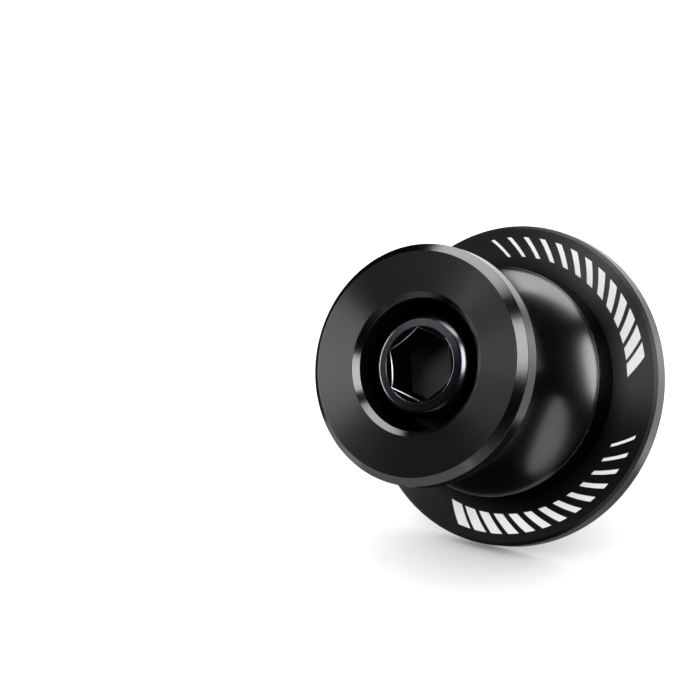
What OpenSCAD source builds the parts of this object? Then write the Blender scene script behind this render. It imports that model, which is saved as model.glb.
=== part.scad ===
// Swingarm spool: a turned bobbin, the flat ring behind it and the screw that clamps both to a swingarm.
// The axle lies along Y: the swingarm face is at y = 0 and the front face looks along -Y.
// Each profile is drawn with x as the radius and y as the distance in front of the swingarm face.

/* [Flange ring] */
// Outer diameter of the flat ring
ring_d = 52; // [46:0.5:80]
// Thickness of the ring
ring_t = 3.6; // [2:0.1:6]
// Chamfer on both outer edges of the ring
ring_chamfer = 0.5; // [0.1:0.1:0.9]

/* [Spool body] */
// Length from the swingarm face to the front face
body_length = 34.5; // [31:0.5:44]
// Outer diameter of the front flange and of the shoulder that stands on the ring
flange_d = 37; // [33:0.5:44]
// Thickness of the shoulder between the ring and the groove
shoulder_t = 5.2; // [3:0.1:8]
// Straight rim of the front flange, without its chamfer
rim_w = 2.6; // [1.5:0.1:5]
// Chamfer between the rim and the front face
face_chamfer = 1.25; // [0.5:0.05:2]
// Smallest diameter of the groove
waist_d = 26; // [25:0.5:30]
// Broken edge where the groove meets the shoulder and the rim
edge_break = 0.15; // [0.05:0.05:0.3]
// Diameter of the spigot that centres the ring
spigot_d = 28; // [18:0.5:34]
// Chamfer at the mouth of the counterbore
counterbore_chamfer = 0.9; // [0.3:0.1:1.5]
// Small chamfer on the spigot, the bores and the washer
small_chamfer = 0.3; // [0.1:0.1:0.5]

/* [Cap screw] */
// Nominal thread diameter
thread_d = 10; // [8:0.5:12]
// Length under the head
screw_length = 45; // [35:1:70]
// Diameter of the head
head_d = 16; // [14:0.5:18]
// Height of the head
head_h = 10; // [9:0.5:12]
// Chamfer round the top of the head
head_chamfer = 0.9; // [0.3:0.1:1.2]
// How far the head lies below the front face
head_recess = 1.3; // [0.5:0.1:3]
// Width across the flats of the hexagon socket
socket_af = 10; // [7:0.5:10.5]
// Depth of the hexagon socket
socket_depth = 6.5; // [4:0.5:8]
// Turn of the hexagon from corner up
socket_turn = 24; // [0:1:60]
// Chamfer at the free end of the thread
tip_chamfer = 1; // [0.5:0.1:1.5]

/* [Washer] */
// Outer diameter of the washer
washer_d = 20; // [19:0.5:20.5]
// Thickness of the washer
washer_t = 2; // [1:0.1:3]

/* [Clearances] */
// Gap all round between the spigot and the ring
ring_gap = 0.1; // [0.05:0.05:0.5]
// Gap all round between the washer and the counterbore
washer_gap = 0.2; // [0.1:0.05:0.6]
// Gap all round between the thread's crest and the bores it passes through
bore_gap = 0.25; // [0.1:0.05:0.5]
// How far the plain shank lies below the thread's crest, as a rolled thread leaves it
shank_relief = 0.5; // [0.2:0.05:0.6]

/* [Hidden] */
round_steps = 120;

ring_r = ring_d / 2;
flange_r = flange_d / 2;
waist_r = waist_d / 2;
spigot_r = spigot_d / 2;
ring_bore_r = spigot_r + ring_gap;
thread_r = thread_d / 2;
shank_r = thread_r - shank_relief;
bore_r = thread_r + bore_gap;
head_r = head_d / 2;
washer_r = washer_d / 2;
counterbore_r = washer_r + washer_gap;

// Stations along the axle, in front of the swingarm face
shoulder_z = ring_t + shoulder_t;
rim_z = body_length - face_chamfer - rim_w;
head_top_z = body_length - head_recess;
head_seat_z = head_top_z - head_h;
washer_seat_z = head_seat_z - washer_t;
tip_z = head_seat_z - screw_length;

// One arc makes the groove: it joins the shoulder to the rim and touches the waist between them
groove_half_w = (rim_z - shoulder_z) / 2;
groove_mid_z = (rim_z + shoulder_z) / 2;
groove_depth = flange_r - edge_break - waist_r;
groove_arc_r = (pow(groove_half_w, 2) + pow(groove_depth, 2)) / (2 * groove_depth);

// The socket's mouth is a cone that just clears the hexagon's corners
socket_corner_r = socket_af / 2 / cos(30);
socket_mouth_r = socket_corner_r + small_chamfer / 2;
socket_mouth_depth = (socket_mouth_r - socket_af / 2) * tan(35);

module along_axle() {
    rotate([90, 0, 0]) children();
}

module turned() {
    along_axle() rotate_extrude($fn = round_steps) children();
}

// The body before its groove is turned, with the two broken edges drawn past the groove's arc
module body_blank() {
    polygon([
        [bore_r, small_chamfer],
        [bore_r + small_chamfer, 0],
        [spigot_r - small_chamfer, 0],
        [spigot_r, small_chamfer],
        [spigot_r, ring_t],
        [flange_r, ring_t],
        [flange_r, shoulder_z - edge_break],
        [flange_r - 2 * edge_break, shoulder_z + edge_break],
        [flange_r - 2 * edge_break, rim_z - edge_break],
        [flange_r, rim_z + edge_break],
        [flange_r, body_length - face_chamfer],
        [flange_r - face_chamfer, body_length],
        [counterbore_r + counterbore_chamfer, body_length],
        [counterbore_r, body_length - counterbore_chamfer],
        [counterbore_r, washer_seat_z],
        [bore_r, washer_seat_z]
    ]);
}

module spool_body() {
    color([0.1, 0.1, 0.11]) turned() difference() {
        body_blank();
        translate([waist_r + groove_arc_r, groove_mid_z]) circle(r = groove_arc_r, $fn = round_steps);
    }
}

module flange_ring() {
    color([0.2, 0.2, 0.21]) turned() polygon([
        [ring_bore_r, small_chamfer],
        [ring_bore_r + small_chamfer, 0],
        [ring_r - ring_chamfer, 0],
        [ring_r, ring_chamfer],
        [ring_r, ring_t - ring_chamfer],
        [ring_r - ring_chamfer, ring_t],
        [ring_bore_r + small_chamfer, ring_t],
        [ring_bore_r, ring_t - small_chamfer]
    ]);
}

module plain_washer() {
    color([0.3, 0.31, 0.33]) turned() polygon([
        [bore_r, washer_seat_z],
        [washer_r, washer_seat_z],
        [washer_r, head_seat_z - small_chamfer],
        [washer_r - small_chamfer, head_seat_z],
        [bore_r, head_seat_z]
    ]);
}

// Head, plain shank through the spool and thread behind the swingarm face
module screw_profile() {
    polygon([
        [0, tip_z],
        [thread_r - tip_chamfer, tip_z],
        [thread_r, tip_z + tip_chamfer],
        [thread_r, 0],
        [shank_r, 0],
        [shank_r, head_seat_z],
        [head_r - small_chamfer, head_seat_z],
        [head_r, head_seat_z + small_chamfer],
        [head_r, head_top_z - head_chamfer],
        [head_r - head_chamfer, head_top_z],
        [0, head_top_z]
    ]);
}

module key_socket() {
    translate([0, 0, head_top_z - socket_depth]) rotate([0, 0, 90 + socket_turn])
        cylinder(r = socket_corner_r, h = socket_depth + 1, $fn = 6);
    translate([0, 0, head_top_z - socket_mouth_depth])
        cylinder(r1 = socket_af / 2, r2 = 2 * socket_mouth_r - socket_af / 2, h = 2 * socket_mouth_depth,
                 $fn = round_steps);
}

module cap_screw() {
    color([0.25, 0.26, 0.29]) along_axle() difference() {
        rotate_extrude($fn = round_steps) screw_profile();
        key_socket();
    }
}

spool_body();
flange_ring();
plain_washer();
cap_screw();
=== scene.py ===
"""Looks of the swingarm spool in a bright studio: black turned body, printed ring, washer and cap screw."""
import math

import bpy
from mathutils import Euler, Matrix, Vector


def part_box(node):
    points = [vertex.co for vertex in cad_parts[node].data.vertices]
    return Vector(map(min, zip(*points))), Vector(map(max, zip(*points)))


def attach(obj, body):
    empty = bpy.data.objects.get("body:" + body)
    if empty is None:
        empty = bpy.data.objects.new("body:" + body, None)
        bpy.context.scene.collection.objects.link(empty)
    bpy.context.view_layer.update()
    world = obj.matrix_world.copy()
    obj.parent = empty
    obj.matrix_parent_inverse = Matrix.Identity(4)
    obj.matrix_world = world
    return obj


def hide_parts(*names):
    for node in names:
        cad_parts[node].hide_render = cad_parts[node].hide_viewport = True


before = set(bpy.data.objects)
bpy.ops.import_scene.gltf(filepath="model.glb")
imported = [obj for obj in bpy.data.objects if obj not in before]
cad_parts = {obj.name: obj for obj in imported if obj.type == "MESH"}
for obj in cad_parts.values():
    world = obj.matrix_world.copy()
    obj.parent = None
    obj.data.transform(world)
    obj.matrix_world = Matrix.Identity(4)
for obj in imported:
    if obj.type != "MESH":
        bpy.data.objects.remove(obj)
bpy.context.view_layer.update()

MM = 0.001

# Where the photograph was taken from, and where the centre of the swingarm face lies in it
PHOTO_PX = 700
SENSOR_MM = 36
LENS_MM = 126
CAMERA_AZIMUTH = 31.57
CAMERA_ELEVATION = 3.0
CAMERA_ROLL = 17.47
SWINGARM_FACE_PX = (518.9, 386.9)
SWINGARM_FACE_DEPTH = 0.3989

# The floor lies level in the picture, where the spool is tipped up, and FLOOR_VIEW is how far the camera
# looks down on it.
# Its own light is a sun, so wide that the shadow is soft. Angles are in degrees.
FLOOR_VIEW = 18.0
FLOOR_HALF_WIDTH = 3.0
FLOOR_LIGHT = 5.6
FLOOR_LIGHT_ANGLE = 160

# Brightness of the surroundings for the camera, and for the metal that mirrors them
WORLD_WHITE = 1.0
WORLD_DIM = 0.01

# How far most softboxes stand from the centre of the swingarm face, in metres
LIGHT_DISTANCE = 0.8

# Sizes that the frame gives, in millimetres. Stations count forwards from the swingarm face.
body_low, body_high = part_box("spool_body")
ring_low, ring_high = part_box("flange_ring")
washer_low, washer_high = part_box("plain_washer")
screw_low, screw_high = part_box("cap_screw")
BODY_LENGTH = -body_low.y / MM
FLANGE_R = body_high.x / MM
RING_R = ring_high.x / MM
RING_T = -ring_low.y / MM
WASHER_R = washer_high.x / MM
WASHER_SEAT = -washer_high.y / MM
HEAD_SEAT = -washer_low.y / MM
HEAD_R = screw_high.x / MM
HEAD_TOP = -screw_low.y / MM
THREAD_END = -screw_high.y / MM

# Sizes inside those, in millimetres and degrees, as the solids have them
SHOULDER_T = 5.2
RIM_W = 2.6
FACE_CHAMFER = 1.25
WAIST_R = 13.0
EDGE_BREAK = 0.15
SPIGOT_R = 14.0
RING_BORE_R = 14.1
BORE_R = 5.25
COUNTERBORE_R = 10.2
COUNTERBORE_CHAMFER = 0.9
SMALL_CHAMFER = 0.3
RING_CHAMFER = 0.5
HEAD_CHAMFER = 0.9
THREAD_R = 5.0
SHANK_R = 4.5
TIP_CHAMFER = 1.0
SOCKET_FLAT_R = 5.0
SOCKET_MOUTH_R = 5.92
SOCKET_DEPTH = 6.5
SOCKET_TURN = 24.0
SOCKET_CONE_SLOPE = 35.0

SHOULDER_TOP = RING_T + SHOULDER_T
RIM_START = BODY_LENGTH - FACE_CHAMFER - RIM_W
FIRST_TURN = 90 + SOCKET_TURN

# Rounded edges, and the slight fall of the head's top from its inner edge outwards, in millimetres.
# SOCKET_EDGE_OUT is how far the cone ends outside the hexagon, as a share of SOCKET_EDGE.
FINE_EDGE = 0.05
EDGE = 0.1
HEAD_SIDE_EDGE = 1.2
HEAD_TOP_EDGE = 0.7
HEAD_DISH = 0.13
SOCKET_EDGE = 0.16
SOCKET_EDGE_OUT = 0.7

# Thread of the screw, a common coarse one: crest and flank as shares of the pitch, the rest is its root.
# The plain shank starts just in front of the swingarm face.
THREAD_PITCH = 1.5
THREAD_DEPTH = 0.92
THREAD_RUNOUT = 1.5
THREAD_CREST = 0.125
THREAD_FLANK = 0.3125
SHANK_START = 0.1

# How finely round pieces are cut. One pitch of thread has as many rows as a turn has steps.
ROUND_STEPS = 240
SCREW_STEPS = 60
GROOVE_STEPS = 72
FILLET_STEPS = 5
SHARP_ANGLE = 38

# A row this far beside each rounded edge keeps the surface next to it flat, in millimetres
SUPPORT_GAP = 0.04

# What counts as the body's face, by depth, and as one of its chamfers, by length along over length across
FACE_DEPTH = 0.01
CHAMFER_STEEPNESS = 3

# Numbers of the finishes on the body and on the screw
BODY, FACE, CHAMFERS, SHADE_IN_BORES, PAINTED_SHADE_SHOULDER = range(5)
STEEL, PAINTED_SHADE_SOCKET, PAINTED_HIGHLIGHT_EDGE, PAINTED_LIGHT_FLOOR = range(4)

# Plain slanted bars in three arcs on the ring's face, in degrees and millimetres. Their slant is in degrees
# per millimetre, and their widths, from the first bar to the last, are shares of their spacing.
MARK_ARCS = 3
MARK_FIRST = 20.0
MARK_SWEEP = 96.0
MARK_BARS = 13
MARK_IN_R = 20.9
MARK_OUT_R = 24.1
MARK_SLANT = 2.3
MARK_WIDE = 0.78
MARK_THIN = 0.22
MARK_EDGE = 0.05
MARK_WHITE = 0.95
MARK_HEIGHT = 0.004
MARK_ROUGHER = 0.1

# Added to the turn before it is cut into arcs, so that it is never below zero
TWO_TURNS = 720

# Black of the ring: painted shade darkens its face next to the shoulder and fades outwards by a share per
# millimetre, its back is even
RING_PAINTED_SHADE_BLACK = 0.035
RING_BLACK_OUT = 0.11
RING_SHADE_FADE_PER_MM = 0.35
RING_BACK_SHARE = 0.6
# The rim's grey is partly bare machined metal and partly a painted reflection of the white surroundings
RING_RIM_BARE_AND_SHEEN_GREY = 0.27
RING_RIM_EDGE = 0.02
RING_BLUE = 0.08
RING_RIM_BLUE = 0.03
RING_ROUGHNESS = 0.55
RING_RIM_SMOOTHER = 0.2

# Turned lines: their depth in millimetres, how many go into one and how much lighter or darker they are.
# The slant keeps them running round barrels too, where the radius doesn't change.
LINE_DEPTH = 0.001
LINES_PER_MM = 5.0
LINE_CONTRAST = 0.1
LINE_SLANT = 0.83

# Grain of the steel, per metre, with its depth in millimetres
GRAIN_SCALE = 2500.0
GRAIN_DEPTH = 0.0005
GRAIN_CONTRAST = 0.05

# How far fine lines and grain change the roughness, where a finish has no value of its own
FINE_GLOSS_CHANGE = 0.06

# How much of a blue tint the green gets too
GREEN_OF_BLUE = 0.16


def plug(tree, socket, value):
    """Puts a number or colour into a socket, or links a worked-out one to it"""
    if isinstance(value, Val):
        tree.links.new(value.socket, socket)
    else:
        socket.default_value = value


class Val:
    """A number or colour in a node tree: the usual operators add the nodes that work it out"""

    def __init__(self, tree, socket):
        self.tree = tree
        self.socket = socket

    def math(self, operation, *others):
        inputs = dict(enumerate((self,) + others))
        return Nodes(self.tree).node("ShaderNodeMath", {"operation": operation}, inputs)

    def __add__(self, other):
        return self.math("ADD", other)

    def __mul__(self, other):
        return self.math("MULTIPLY", other)

    def __sub__(self, other):
        return self.math("SUBTRACT", other)

    def __rsub__(self, other):
        return self * -1.0 + other

    __radd__ = __add__
    __rmul__ = __mul__

    def clamped(self):
        return self.math("MAXIMUM", 0.0).math("MINIMUM", 1.0)

    def above(self, edge, softness):
        """0 below the edge and 1 above it, with a soft step between"""
        return ((self - edge) * (1.0 / softness) + 0.5).clamped()


class Nodes:
    """Adds nodes to the tree of a material or of the world"""

    def __init__(self, tree):
        self.tree = tree

    def node(self, kind, settings, inputs, output=0):
        """One node of a kind: its settings come first, then the values or links of its sockets"""
        made = self.tree.nodes.new(kind)
        for key, value in settings.items():
            setattr(made, key, value)
        for key, value in inputs.items():
            plug(self.tree, made.inputs[key], value)
        return Val(self.tree, made.outputs[output])


class Finish(Nodes):
    """A material with one Principled shader"""

    def __init__(self, name, **constants):
        self.material = bpy.data.materials.new(name)
        self.material.use_nodes = True
        super().__init__(self.material.node_tree)
        self.shader = self.tree.nodes["Principled BSDF"]
        for socket, value in constants.items():
            self.set(socket.replace("_", " "), value)

    def set(self, socket, value):
        plug(self.tree, self.shader.inputs[socket], value)

    def own_place(self):
        return self.node("ShaderNodeTexCoord", {}, {}, "Object")

    def place(self):
        """x, y and z in the frame of the piece, in millimetres: z is the station along the axle"""
        parts = self.node("ShaderNodeSeparateXYZ", {}, {0: self.own_place()}).socket.node.outputs
        return [Val(self.tree, part) * (1.0 / MM) for part in parts]

    def radius(self):
        x, y = self.place()[:2]
        return (x * x + y * y).math("SQRT")

    def station(self):
        return self.place()[2]

    def turn(self):
        """Degrees round the axle"""
        x, y = self.place()[:2]
        return y.math("ARCTAN2", x) * (180 / math.pi)

    def blend(self, factor, a, b):
        return self.node("ShaderNodeMix", {"data_type": "RGBA"}, {"Factor": factor, 6: a, 7: b}, 2)

    def bump(self, height_mm):
        return self.node("ShaderNodeBump", {}, {"Height": height_mm, "Distance": MM, "Strength": 1.0})

    def turned_lines(self):
        """Fine lines round the axle, from 0 to 1, on faces, cones and barrels alike"""
        across = self.radius() + self.station() * LINE_SLANT
        inputs = {"W": across, "Scale": LINES_PER_MM, "Detail": 3.0, "Roughness": 0.6}
        return self.node("ShaderNodeTexNoise", {"noise_dimensions": "1D"}, inputs)


def grey(level, blue=0.0):
    """A colour of one brightness, or with more blue by the given share"""
    return (level, level * (1 + blue * GREEN_OF_BLUE), level * (1 + blue), 1.0)


def anodised(name, level, roughness, spread, gloss_change, crown=0.0):
    """Black metal that spreads light across its turned lines. Crown shades a flat face as if it fell outwards
    by that slope."""
    finish = Finish(name, Metallic=1.0, Anisotropic=spread, Anisotropic_Rotation=0.25)
    lines = finish.turned_lines()
    darker = grey(level * (1 - LINE_CONTRAST))
    lighter = grey(level * (1 + LINE_CONTRAST))
    finish.set("Base Color", finish.blend(lines, darker, lighter))
    finish.set("Roughness", (lines - 0.5) * gloss_change + roughness)
    finish.set("Normal", finish.bump(lines * LINE_DEPTH - finish.radius() * crown))
    return finish.material


def steel(name, level, roughness, blue):
    """Bare or blackened steel with a fine grain"""
    finish = Finish(name, Metallic=1.0)
    inputs = {"Vector": finish.own_place(), "Scale": GRAIN_SCALE, "Detail": 4.0, "Roughness": 0.6}
    grain = finish.node("ShaderNodeTexNoise", {}, inputs)
    darker = grey(level * (1 - GRAIN_CONTRAST), blue)
    lighter = grey(level * (1 + GRAIN_CONTRAST), blue)
    finish.set("Base Color", finish.blend(grain, darker, lighter))
    finish.set("Roughness", (grain - 0.5) * FINE_GLOSS_CHANGE + roughness)
    finish.set("Normal", finish.bump(grain * GRAIN_DEPTH))
    return finish.material


def printed_marks(finish):
    """1 on the printed bars and 0 beside them"""
    radius = finish.radius()
    lean = (radius - MARK_IN_R) * MARK_SLANT
    from_first = finish.turn() + TWO_TURNS - lean - MARK_FIRST
    along = from_first.math("MODULO", 360 / MARK_ARCS) * (MARK_BARS / MARK_SWEEP)
    bar = along.math("FLOOR")
    share = along - bar
    width = bar * ((MARK_THIN - MARK_WIDE) / (MARK_BARS - 1)) + MARK_WIDE
    soft = MARK_EDGE * MARK_BARS / math.radians(MARK_SWEEP) / MARK_IN_R
    in_bar = share.above(soft, soft) * (width - share).above(0.0, soft)
    in_arc = (MARK_BARS - along).above(0.0, soft)
    in_band = radius.above(MARK_IN_R, MARK_EDGE) * (MARK_OUT_R - radius).above(0.0, MARK_EDGE)
    on_face = finish.station().above(RING_T - MARK_EDGE, MARK_EDGE / 2)
    return in_bar * in_arc * in_band * on_face


def printed_black():
    """Satin black with painted shade on its face next to the shoulder, fading outwards, with white marks
    there and a grey rim
    """
    finish = Finish("satin_black_ring", Anisotropic=0.9, Anisotropic_Rotation=0.25)
    radius = finish.radius()
    lines = finish.turned_lines()
    marks = printed_marks(finish)
    rim = radius.above(RING_R - RING_RIM_EDGE, RING_RIM_EDGE)
    front = finish.station().above(RING_T / 2, RING_T / 2)
    # Painted shade: the face is darker next to the shoulder and lighter outwards
    outwards = ((radius - FLANGE_R) * RING_SHADE_FADE_PER_MM).clamped()
    lighter = outwards * front + (1 - front) * RING_BACK_SHARE
    black = finish.blend(lighter, grey(RING_PAINTED_SHADE_BLACK, RING_BLUE), grey(RING_BLACK_OUT, RING_BLUE))
    # Grey rim: bare metal, with a painted reflection of the white surroundings
    black = finish.blend(rim, black, grey(RING_RIM_BARE_AND_SHEEN_GREY, RING_RIM_BLUE))
    finish.set("Base Color", finish.blend(marks, black, grey(MARK_WHITE)))
    finish.set("Metallic", 1 - marks)
    roughness = (lines - 0.5) * FINE_GLOSS_CHANGE + RING_ROUGHNESS
    finish.set("Roughness", roughness + marks * MARK_ROUGHER - rim * RING_RIM_SMOOTHER)
    finish.set("Normal", finish.bump((lines * (1 - marks) + marks) * MARK_HEIGHT))
    return finish.material


def rounded(corners):
    """The closed outline through (radius, station, fillet) corners, each corner rounded by its fillet"""
    points = []
    places = [Vector(corner[:2]) for corner in corners]
    for i, here in enumerate(places):
        fillet = corners[i][2]
        if fillet == 0:
            points.append(here)
            continue
        before = here - places[i - 1]
        after = places[(i + 1) % len(places)] - here
        turn = before.angle_signed(after)
        reach = abs(math.tan(turn / 2)) * fillet
        start = here - before.normalized() * reach
        end = here + after.normalized() * reach
        side = 1 if turn > 0 else -1
        centre = start + Vector((before.y, -before.x)).normalized() * side * fillet
        if before.length > reach + 2 * SUPPORT_GAP:
            points.append(start - before.normalized() * SUPPORT_GAP)
        for step in range(FILLET_STEPS + 1):
            points.append(centre + Matrix.Rotation(-turn * step / FILLET_STEPS, 2) @ (start - centre))
        if after.length > reach + 2 * SUPPORT_GAP:
            points.append(end + after.normalized() * SUPPORT_GAP)
    return points


def row_of(steps, first_turn, place):
    """One row of points round the axle, in millimetres: place gives the radius and station of each step"""
    row = []
    for k in range(steps):
        radius, station = place(k)
        angle = math.radians(first_turn) + 2 * math.pi * k / steps
        row.append((radius * math.cos(angle), radius * math.sin(angle), station))
    return row


def lathe_rows(outline, steps, first_turn=0.0, finish_at=None):
    """A row for each outline point, with the number of the finish between it and the next"""
    rows = []
    for i, point in enumerate(outline):
        following = outline[(i + 1) % len(outline)]
        finish = finish_at(point, following) if finish_at else 0
        rows.append((row_of(steps, first_turn, lambda k: point), finish))
    return rows


def band_faces(low, high, steps, split):
    """Faces between two rows, given by the numbers of their first points. Split cuts each into two
    triangles along the thread's direction."""
    faces = []
    for k in range(steps):
        n = (k + 1) % steps
        if split:
            faces.append((low + k, low + n, high + n))
            faces.append((low + k, high + n, high + k))
        else:
            faces.append((low + k, low + n, high + n, high + k))
    return faces


def end_faces(first, pole, steps, backwards):
    """Triangles between a row and a point on the axle"""
    faces = []
    for k in range(steps):
        here = first + k
        following = first + (k + 1) % steps
        faces.append((following, here, pole) if backwards else (here, following, pole))
    return faces


def skin(name, rows, closed, finishes, node, split=False):
    """A mesh over rows of points round the axle, which stands in for a node. Closed joins the last row
    to the first, else both ends run to a point on the axle."""
    steps = len(rows[0][0])
    points = [point for row, finish in rows for point in row]
    bands = []
    for j in range(len(rows) - 1):
        bands.append((band_faces(j * steps, (j + 1) * steps, steps, split), rows[j][1]))
    last = (len(rows) - 1) * steps
    if closed:
        bands.append((band_faces(last, 0, steps, split), rows[-1][1]))
    else:
        pole = len(points)
        points += [(0.0, 0.0, rows[0][0][0][2]), (0.0, 0.0, rows[-1][0][0][2])]
        bands.append((end_faces(0, pole, steps, True), rows[0][1]))
        bands.append((end_faces(last, pole + 1, steps, False), rows[-1][1]))
    faces = [face for band, finish in bands for face in band]
    mesh = bpy.data.meshes.new(name)
    mesh.from_pydata([tuple(c * MM for c in point) for point in points], [], faces)
    for finish in finishes:
        mesh.materials.append(finish)
    mesh.polygons.foreach_set("material_index", [finish for band, finish in bands for face in band])
    mesh.validate()
    mesh.shade_smooth()
    mesh.set_sharp_from_angle(angle=math.radians(SHARP_ANGLE))
    piece = bpy.data.objects.new(name, mesh)
    bpy.context.scene.collection.objects.link(piece)
    piece.rotation_euler = Euler((math.radians(90), 0, 0))
    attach(piece, "root")
    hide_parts(node)
    return piece


def groove_corners():
    """The one arc that joins the shoulder to the rim and touches the waist between them"""
    half = (RIM_START - SHOULDER_TOP) / 2
    middle = (RIM_START + SHOULDER_TOP) / 2
    depth = FLANGE_R - EDGE_BREAK - WAIST_R
    arc_r = (half * half + depth * depth) / (2 * depth)
    reach = math.asin(half / arc_r)
    corners = []
    for step in range(1, GROOVE_STEPS):
        turn = -reach + 2 * reach * step / GROOVE_STEPS
        corners.append((WAIST_R + arc_r - arc_r * math.cos(turn), middle + arc_r * math.sin(turn), 0))
    return corners


def body_outline():
    """Along the spigot, the shoulder, the groove, the rim, the face, the counterbore and the bore"""
    return rounded([
        (BORE_R, SMALL_CHAMFER, FINE_EDGE),
        (BORE_R + SMALL_CHAMFER, 0, FINE_EDGE),
        (SPIGOT_R - SMALL_CHAMFER, 0, FINE_EDGE),
        (SPIGOT_R, SMALL_CHAMFER, FINE_EDGE),
        (SPIGOT_R, RING_T, 0),
        (FLANGE_R, RING_T, EDGE),
        (FLANGE_R, SHOULDER_TOP, EDGE),
        *groove_corners(),
        (FLANGE_R, RIM_START, EDGE),
        (FLANGE_R, BODY_LENGTH - FACE_CHAMFER, EDGE),
        (FLANGE_R - FACE_CHAMFER, BODY_LENGTH, EDGE),
        (COUNTERBORE_R + COUNTERBORE_CHAMFER, BODY_LENGTH, EDGE),
        (COUNTERBORE_R, BODY_LENGTH - COUNTERBORE_CHAMFER, EDGE),
        (COUNTERBORE_R, WASHER_SEAT, EDGE),
        (BORE_R, WASHER_SEAT, FINE_EDGE),
    ])


def body_finish_at(point, following):
    """The number of the body's finish between two points of its outline"""
    radius, station = (point + following) / 2
    across, along = following - point
    if station > BODY_LENGTH - FACE_DEPTH:
        return FACE
    if station > BODY_LENGTH - FACE_CHAMFER and abs(along) <= abs(across) * CHAMFER_STEEPNESS:
        return CHAMFERS
    # The counterbore and the bore take painted shade
    if station > WASHER_SEAT - FINE_EDGE and radius < COUNTERBORE_R + FINE_EDGE:
        return SHADE_IN_BORES
    # The shoulder takes a darker copy of the black, painted shade
    if station < SHOULDER_TOP and radius > FLANGE_R - EDGE:
        return PAINTED_SHADE_SHOULDER
    return BODY


def ring_outline():
    return rounded([
        (RING_BORE_R, SMALL_CHAMFER, FINE_EDGE),
        (RING_BORE_R + SMALL_CHAMFER, 0, FINE_EDGE),
        (RING_R - RING_CHAMFER, 0, EDGE),
        (RING_R, RING_CHAMFER, EDGE),
        (RING_R, RING_T - RING_CHAMFER, EDGE),
        (RING_R - RING_CHAMFER, RING_T, EDGE),
        (RING_BORE_R + SMALL_CHAMFER, RING_T, FINE_EDGE),
        (RING_BORE_R, RING_T - SMALL_CHAMFER, FINE_EDGE),
    ])


def washer_outline():
    return rounded([
        (BORE_R, WASHER_SEAT, FINE_EDGE),
        (WASHER_R, WASHER_SEAT, EDGE),
        (WASHER_R, HEAD_SEAT - SMALL_CHAMFER, EDGE),
        (WASHER_R - SMALL_CHAMFER, HEAD_SEAT, EDGE),
        (BORE_R, HEAD_SEAT, FINE_EDGE),
    ])


def head_outline():
    """From the start of the shank to the mouth of the socket: the end points on the axle are left out"""
    return rounded([
        (0, SHANK_START, 0),
        (SHANK_R, SHANK_START, 0),
        (SHANK_R, HEAD_SEAT, 0),
        (HEAD_R - SMALL_CHAMFER, HEAD_SEAT, EDGE),
        (HEAD_R, HEAD_SEAT + SMALL_CHAMFER, EDGE),
        (HEAD_R, HEAD_TOP - HEAD_CHAMFER, HEAD_SIDE_EDGE),
        (HEAD_R - HEAD_CHAMFER, HEAD_TOP - HEAD_DISH, HEAD_TOP_EDGE),
        (SOCKET_MOUTH_R, HEAD_TOP, FINE_EDGE),
        (0, HEAD_TOP - SOCKET_DEPTH / 2, 0),
    ])[1:-1]


def thread_radius(station, turn):
    """Radius of the thread at a station and a share of a turn, with its run-out and the tip's chamfer"""
    phase = (station / THREAD_PITCH - turn) % 1.0
    flank = min(1.0, max(0.0, (abs(phase - 0.5) - THREAD_CREST / 2) / THREAD_FLANK))
    fade = min(1.0, max(0.0, -station / THREAD_RUNOUT))
    tip = THREAD_R - TIP_CHAMFER + station - THREAD_END
    return min(THREAD_R - THREAD_DEPTH * flank * fade, tip)


def thread_rows():
    """From the tip of the thread to its end at the swingarm face"""
    count = round(-THREAD_END / THREAD_PITCH * SCREW_STEPS)
    rows = []
    for j in range(count + 1):
        station = THREAD_END * (1 - j / count)
        row = row_of(SCREW_STEPS, FIRST_TURN, lambda k: (thread_radius(station, k / SCREW_STEPS), station))
        rows.append((row, STEEL))
    return rows


def hexagon_r(k):
    """Radius of the socket's hexagon at a step of the screw"""
    steps_per_side = SCREW_STEPS // 6
    share = (k % steps_per_side) / steps_per_side
    return SOCKET_FLAT_R / math.cos(math.radians(60) * (share - 0.5))


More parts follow.
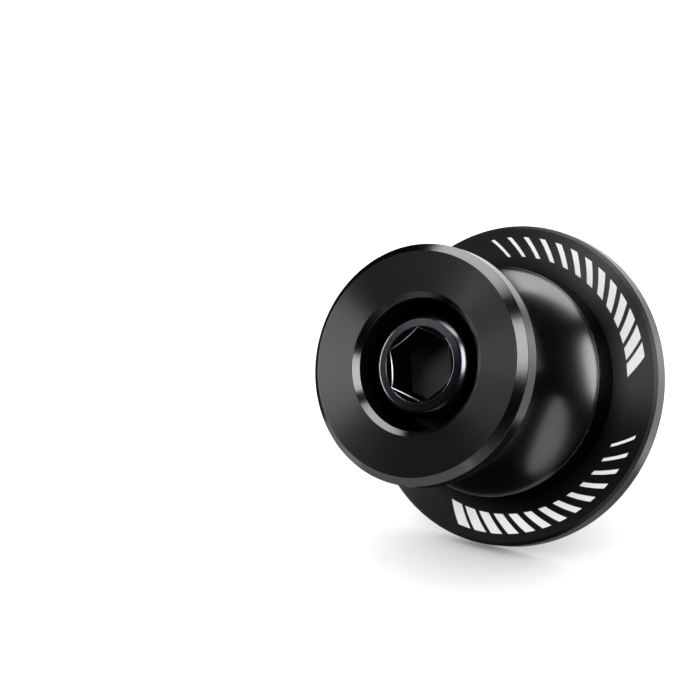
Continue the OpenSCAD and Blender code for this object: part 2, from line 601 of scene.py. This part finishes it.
def socket_rows():
    """From the socket's mouth down its cone, round the hexagon's edge, down the walls and over the floor"""
    slope = math.tan(math.radians(SOCKET_CONE_SLOPE))
    floor = HEAD_TOP - SOCKET_DEPTH
    cone_end = SOCKET_EDGE * SOCKET_EDGE_OUT

    def on_cone(share):
        """A share of the way from the mouth to the hexagon's edge"""
        def place(k):
            radius = SOCKET_MOUTH_R + (hexagon_r(k) + cone_end - SOCKET_MOUTH_R) * share
            return radius, HEAD_TOP - (SOCKET_MOUTH_R - radius) * slope
        return place

    def on_edge(out, down):
        """Outside the hexagon and below the end of the cone, both in shares of the rounded edge"""
        def place(k):
            top = HEAD_TOP - (SOCKET_MOUTH_R - hexagon_r(k) - cone_end) * slope
            return hexagon_r(k) + SOCKET_EDGE * out, top - SOCKET_EDGE * down
        return place

    def inside(share, height):
        """A share of the hexagon's radius, at a height over the floor"""
        return lambda k: (hexagon_r(k) * share, floor + height)

    stages = [
        # The cone and the walls take painted shade
        (on_cone(0.12), PAINTED_SHADE_SOCKET),
        (on_cone(0.85), PAINTED_SHADE_SOCKET),
        # The rounded edge of the hexagon takes brighter steel, a painted highlight
        (on_cone(1.0), PAINTED_HIGHLIGHT_EDGE),
        (on_edge(0.35, 0.28), PAINTED_HIGHLIGHT_EDGE),
        (on_edge(0.0, 0.7), PAINTED_HIGHLIGHT_EDGE),
        (on_edge(0.0, 1.3), PAINTED_SHADE_SOCKET),
        (inside(1.0, 0.25), PAINTED_SHADE_SOCKET),
        # The floor takes lighter steel, painted light
        (inside(1.0, 0.0), PAINTED_LIGHT_FLOOR),
        (inside(0.9, 0.0), PAINTED_LIGHT_FLOOR),
        (inside(0.4, 0.0), PAINTED_LIGHT_FLOOR),
    ]
    return [(row_of(SCREW_STEPS, FIRST_TURN, place), finish) for place, finish in stages]


def make_body(dark_shade):
    finishes = [
        anodised("black_anodised_body", 0.09, roughness=0.24, spread=0.5, gloss_change=0.04),
        anodised("turned_black_face", 0.09, roughness=0.36, spread=0.9, gloss_change=0.05, crown=0.08),
        anodised("polished_black_chamfers", 0.09, roughness=0.19, spread=0.4, gloss_change=0.03),
        dark_shade,
        # A darker copy of the body's black: painted shade on the shoulder
        anodised("polished_shoulder_painted_shade", 0.06, roughness=0.12, spread=0.0, gloss_change=0.03),
    ]
    rows = lathe_rows(body_outline(), ROUND_STEPS, finish_at=body_finish_at)
    return skin("turned_body", rows, True, finishes, "spool_body")


def make_ring():
    rows = lathe_rows(ring_outline(), ROUND_STEPS)
    return skin("printed_ring", rows, True, [printed_black()], "flange_ring")


def make_washer():
    rows = lathe_rows(washer_outline(), ROUND_STEPS)
    finishes = [steel("dark_washer_steel", 0.12, roughness=0.35, blue=0.05)]
    return skin("washer", rows, True, finishes, "plain_washer")


def make_screw(dark_shade):
    finishes = [
        steel("dark_screw_steel", 0.16, roughness=0.22, blue=0.18),
        dark_shade,
        # Brighter steel on the socket's rounded edge: a painted highlight
        steel("screw_edges_painted_highlight", 0.4, roughness=0.25, blue=0.08),
        # Lighter steel on the socket's floor: painted light where light falls into the socket
        steel("socket_floor_painted_light", 0.35, roughness=0.4, blue=0.1),
    ]
    rows = thread_rows() + lathe_rows(head_outline(), SCREW_STEPS, FIRST_TURN) + socket_rows()
    return skin("screw", rows, False, finishes, "cap_screw", split=True)


def collection(name, pieces):
    """A group of pieces that a light can be limited to"""
    group = bpy.data.collections.new(name)
    bpy.context.scene.collection.children.link(group)
    for piece in pieces:
        group.objects.link(piece)
    return group


def direction(azimuth, elevation):
    """Unit vector towards a place in the studio: azimuth 0 is in front of the spool, 90 at its right"""
    a = math.radians(azimuth)
    e = math.radians(elevation)
    return Vector((math.sin(a) * math.cos(e), -math.cos(a) * math.cos(e), math.sin(e)))


def rolled(towards, degrees):
    """Turn of something whose back points towards a place, rolled about that direction"""
    return towards.to_track_quat("Z", "Y") @ Euler((0, 0, math.radians(degrees))).to_quaternion()


def lamp(name, kind, lit):
    """A light that only lights the pieces of one collection"""
    made = bpy.data.objects.new(name, bpy.data.lights.new(name, kind))
    bpy.context.scene.collection.objects.link(made)
    made.visible_camera = False
    made.light_linking.receiver_collection = lit
    return made


def softbox(name, lit, place, spans, level, distance=LIGHT_DISTANCE, shape="RECTANGLE", roll=0.0):
    """A soft light that stands at a place of azimuth and elevation, spans a width and a height in degrees
    as seen from the spool and has the given brightness"""
    made = lamp(name, "AREA", lit)
    width, height = [2 * distance * math.tan(math.radians(span / 2)) for span in spans]
    made.data.shape = shape
    made.data.size = width
    made.data.size_y = height
    made.data.energy = level * math.pi * width * height
    towards = direction(*place)
    made.location = towards * distance
    made.rotation_euler = rolled(towards, roll).to_euler()


def set_camera():
    """Stands as the photograph's camera did; gives back how it is turned"""
    data = bpy.data.cameras.new("camera")
    data.lens = LENS_MM
    data.sensor_width = SENSOR_MM
    data.clip_start = 0.01
    data.clip_end = 20
    camera = bpy.data.objects.new("camera", data)
    bpy.context.scene.collection.objects.link(camera)
    turn = rolled(direction(CAMERA_AZIMUTH, CAMERA_ELEVATION), CAMERA_ROLL)
    px_per_depth = LENS_MM / SENSOR_MM * PHOTO_PX
    across, down = [(px - PHOTO_PX / 2) / px_per_depth for px in SWINGARM_FACE_PX]
    camera.location = -(turn @ Vector((across, -down, -1)) * SWINGARM_FACE_DEPTH)
    camera.rotation_euler = turn.to_euler()
    bpy.context.scene.camera = camera
    return turn


def set_floor(camera_turn):
    """A white floor that touches the ring's rear edge, with a light of its own that clips it to white"""
    tilt = math.radians(FLOOR_VIEW)
    up = camera_turn @ Vector((0, math.cos(tilt), math.sin(tilt)))
    s = FLOOR_HALF_WIDTH
    mesh = bpy.data.meshes.new("floor")
    mesh.from_pydata([(-s, -s, 0), (s, -s, 0), (s, s, 0), (-s, s, 0)], [], [(0, 1, 2, 3)])
    white = Finish("white_floor", Base_Color=grey(0.9), Roughness=0.9, Specular_IOR_Level=0.0)
    mesh.materials.append(white.material)
    floor = bpy.data.objects.new("floor", mesh)
    bpy.context.scene.collection.objects.link(floor)
    floor.location = -up * ring_high.x * math.sqrt(1 - up.y * up.y)
    floor.rotation_euler = up.to_track_quat("Z", "Y").to_euler()
    floor.visible_glossy = False
    floor.visible_shadow = False
    light = lamp("floor_light", "SUN", collection("lit_by_floor_light", (floor,)))
    light.data.energy = FLOOR_LIGHT
    light.data.angle = math.radians(FLOOR_LIGHT_ANGLE)
    light.rotation_euler = floor.rotation_euler


def set_world():
    """White behind the object for the camera, nearly black for everything that the metal mirrors"""
    world = bpy.data.worlds.new("studio")
    bpy.context.scene.world = world
    world.use_nodes = True
    nodes = Nodes(world.node_tree)
    dim = nodes.node("ShaderNodeBackground", {}, {"Color": grey(1.0), "Strength": WORLD_DIM})
    white = nodes.node("ShaderNodeBackground", {}, {"Color": grey(1.0), "Strength": WORLD_WHITE})
    seen = nodes.node("ShaderNodeLightPath", {}, {}, "Is Camera Ray")
    both = nodes.node("ShaderNodeMixShader", {}, {0: seen, 1: dim, 2: white})
    plug(world.node_tree, world.node_tree.nodes["World Output"].inputs["Surface"], both)


def set_lights(body, ring, washer, screw):
    spool = collection("spool_pieces", (body, ring, washer, screw))
    front = collection("pieces_without_ring", (body, washer, screw))
    rear = collection("ring_alone", (ring,))
    softbox("top_softbox", spool, place=(-45, 71), spans=(58, 28), level=4.6)
    softbox("right_softbox", spool, place=(49, 28), spans=(26, 42), level=4.7, shape="ELLIPSE")
    softbox("left_softbox", spool, place=(-69, -11), spans=(26, 36), level=8.5)
    softbox("low_right_card", spool, place=(90, -31), spans=(36, 74), level=0.97, shape="ELLIPSE", roll=-23)
    softbox("back_wall", spool, place=(168, 8), spans=(34, 40), level=2.0)
    softbox("left_back_wall", spool, place=(-160, 14), spans=(36, 54), level=2.0)
    softbox("low_back_card", spool, place=(-118, -36), spans=(50, 24), level=0.6)
    softbox("low_rear_card", rear, place=(-170, -30), spans=(50, 24), level=0.35)
    softbox("upper_front_glow", spool, place=(-36, 18), spans=(36, 26), level=0.45)
    softbox("small_glow", spool, place=(-15, 38), spans=(7, 7), level=8.0)
    softbox("floor_in_front", front, place=(-16, -52), spans=(75, 16), level=0.8, distance=0.062)


# Near black with no reflection: painted shade in the counterbore, the bore and on the socket's cone and walls
painted_shade_finish = Finish("painted_shade_black", Base_Color=grey(0.002), Roughness=0.5, Specular_IOR_Level=0.0)
spool_body = make_body(painted_shade_finish.material)
flange_ring = make_ring()
plain_washer = make_washer()
cap_screw = make_screw(painted_shade_finish.material)
set_floor(set_camera())
set_world()
set_lights(spool_body, flange_ring, plain_washer, cap_screw)
bpy.context.scene.view_settings.view_transform = "Standard"
